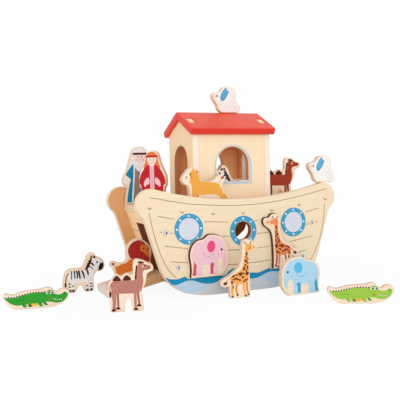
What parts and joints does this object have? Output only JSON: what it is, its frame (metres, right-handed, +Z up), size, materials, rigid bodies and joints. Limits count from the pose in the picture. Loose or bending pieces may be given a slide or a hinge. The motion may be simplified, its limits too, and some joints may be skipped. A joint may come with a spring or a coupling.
{
  "type": "toy ark",
  "caption": "Plywood toy ark with printed slab sides, drop-down ramp, deck house with lift-off roof, shape-sorter cut-outs and flat standing animal and people figures.",
  "frame": {"origin": "on the floor, under the middle of the hull", "axes": "+X along the hull to its closed end, -Y to the printed front with the sorter figures, +Z up"},
  "size_m": [0.5216, 0.3387, 0.3237],
  "materials": {
    "printed_ply": "clear matt lacquer with printed panel art",
    "plain_ply": "clear matt lacquer",
    "house_ply": "clear matt lacquer, grey line round the window",
    "roof_paint": "satin red paint",
    "dove_print": "satin print on ply",
    "man_print": "satin print on ply",
    "woman_print": "satin print on ply",
    "lioness_print": "satin print on ply",
    "lion_print": "satin print on ply",
    "zebra_print": "satin print on ply",
    "light_camel_print": "satin print on ply",
    "dark_camel_print": "satin print on ply",
    "green_crocodile_print": "satin print on ply",
    "lime_crocodile_print": "satin print on ply",
    "pink_elephant_print": "satin print on ply",
    "blue_elephant_print": "satin print on ply",
    "sorter_giraffe_print": "satin print on ply",
    "floor_giraffe_print": "satin print on ply",
    "screw_steel": "zinc plated"
  },
  "bodies": {
    "ark": {"front_side_panel": "printed_ply", "rear_side_panel": "printed_ply", "deck_board": "plain_ply", "hull_floor": "plain_ply", "doorway_end_wall": "plain_ply", "closed_end_wall": "plain_ply", "ramp_pivot_rod": "plain_ply", "front_panel_screws": "screw_steel", "rear_panel_screws": "screw_steel", "left_gable_wall": "house_ply", "right_gable_wall": "house_ply", "house_front_wall": "house_ply", "house_rear_wall": "house_ply", "house_screws": "screw_steel"},
    "roof": {"roof_front_slope": "roof_paint", "roof_rear_slope": "roof_paint"},
    "ramp": {"boarding_ramp": "plain_ply"},
    "roof_dove_figure": {"roof_dove": "dove_print"},
    "horn_dove_figure": {"horn_dove": "dove_print"},
    "bearded_man_figure": {"bearded_man": "man_print"},
    "robed_woman_figure": {"robed_woman": "woman_print"},
    "lioness_figure": {"lioness": "lioness_print"},
    "lion_figure": {"lion": "lion_print"},
    "house_zebra_figure": {"house_zebra": "zebra_print"},
    "floor_zebra_figure": {"floor_zebra": "zebra_print"},
    "light_camel_figure": {"light_camel": "light_camel_print"},
    "dark_camel_figure": {"dark_camel": "dark_camel_print"},
    "green_crocodile_figure": {"green_crocodile": "green_crocodile_print"},
    "lime_crocodile_figure": {"lime_crocodile": "lime_crocodile_print"},
    "pink_elephant_figure": {"pink_elephant": "pink_elephant_print"},
    "blue_elephant_figure": {"blue_elephant": "blue_elephant_print"},
    "sorter_giraffe_figure": {"sorter_giraffe": "sorter_giraffe_print"},
    "floor_giraffe_figure": {"floor_giraffe": "floor_giraffe_print"}
  },
  "joints": [
    {"name": "ramp_hinge", "type": "hinge", "parent": "ark", "child": "ramp", "pos_m": [-0.11317, 0, 0.0243], "axis": [0, 1, 0], "range_deg": [0, 82]},
    {"name": "roof_lift", "type": "slide", "parent": "ark", "child": "roof", "axis": [0, 0, 1], "range_m": [0, 0.09]},
    {"name": "roof_dove_lift", "type": "slide", "parent": "roof", "child": "roof_dove_figure", "axis": [0, 0, 1], "range_m": [0, 0.06]},
    {"name": "horn_dove_lift", "type": "slide", "parent": "ark", "child": "horn_dove_figure", "axis": [0, 0, 1], "range_m": [0, 0.06]},
    {"name": "bearded_man_lift", "type": "slide", "parent": "ark", "child": "bearded_man_figure", "axis": [0, 0, 1], "range_m": [0, 0.06]},
    {"name": "robed_woman_lift", "type": "slide", "parent": "ark", "child": "robed_woman_figure", "axis": [0, 0, 1], "range_m": [0, 0.06]},
    {"name": "lioness_lift", "type": "slide", "parent": "ark", "child": "lioness_figure", "axis": [0, 0, 1], "range_m": [0, 0.04]},
    {"name": "lion_lift", "type": "slide", "parent": "ramp", "child": "lion_figure", "axis": [-0.2047, 0, 0.9788], "range_m": [0, 0.025]},
    {"name": "house_zebra_lift", "type": "slide", "parent": "ark", "child": "house_zebra_figure", "axis": [0, 0, 1], "range_m": [0, 0.042]},
    {"name": "floor_zebra_lift", "type": "slide", "parent": "ark", "child": "floor_zebra_figure", "axis": [0, 0, 1], "range_m": [0, 0.06]},
    {"name": "light_camel_lift", "type": "slide", "parent": "ark", "child": "light_camel_figure", "axis": [0, 0, 1], "range_m": [0, 0.06]},
    {"name": "dark_camel_lift", "type": "slide", "parent": "ark", "child": "dark_camel_figure", "axis": [0, 0, 1], "range_m": [0, 0.05]},
    {"name": "green_crocodile_lift", "type": "slide", "parent": "ark", "child": "green_crocodile_figure", "axis": [0, 0, 1], "range_m": [0, 0.06]},
    {"name": "lime_crocodile_lift", "type": "slide", "parent": "ark", "child": "lime_crocodile_figure", "axis": [0, 0, 1], "range_m": [0, 0.06]},
    {"name": "blue_elephant_lift", "type": "slide", "parent": "ark", "child": "blue_elephant_figure", "axis": [0, 0, 1], "range_m": [0, 0.06]},
    {"name": "floor_giraffe_lift", "type": "slide", "parent": "ark", "child": "floor_giraffe_figure", "axis": [0, 0, 1], "range_m": [0, 0.06]},
    {"name": "pink_elephant_push", "type": "slide", "parent": "ark", "child": "pink_elephant_figure", "axis": [0, 1, 0], "range_m": [-0.011, 0.057]},
    {"name": "sorter_giraffe_push", "type": "slide", "parent": "ark", "child": "sorter_giraffe_figure", "axis": [0, 1, 0], "range_m": [-0.011, 0.057]}
  ]
}
